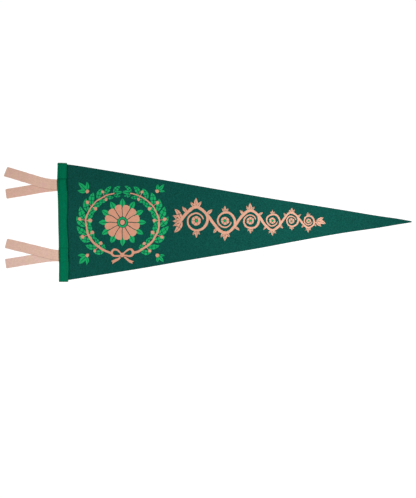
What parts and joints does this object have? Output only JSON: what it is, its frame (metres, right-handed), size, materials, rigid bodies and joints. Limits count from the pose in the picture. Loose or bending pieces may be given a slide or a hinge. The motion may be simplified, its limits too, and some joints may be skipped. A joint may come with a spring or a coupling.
{
  "type": "pennant flag",
  "caption": "Long triangular felt pennant lying flat, face up, with a sewn header strip along its hoist edge and felt ties in two pairs.",
  "frame": {"origin": "on the surface the flag lies on, under the middle of its bounding box, ties included", "axes": "+X runs from the hoist to the tip, +Y up the hoist as the face is read, +Z out of the printed face"},
  "size_m": [0.7906, 0.2311, 0.0058],
  "materials": {
    "pennant_felt": "matte dark green wool felt, printed in two inks on its face",
    "header_felt": "matte bright green wool felt",
    "tie_felt": "matte tan wool felt",
    "green_ink": "matte bright green screen print on felt",
    "tan_ink": "matte salmon tan screen print on felt",
    "thread": "green sewing thread"
  },
  "bodies": {
    "root": {"pennant": "pennant_felt", "header": "header_felt", "tie_top_under": "tie_felt", "tie_top_over": "tie_felt", "tie_low_under": "tie_felt", "tie_low_over": "tie_felt"}
  },
  "joints": []
}
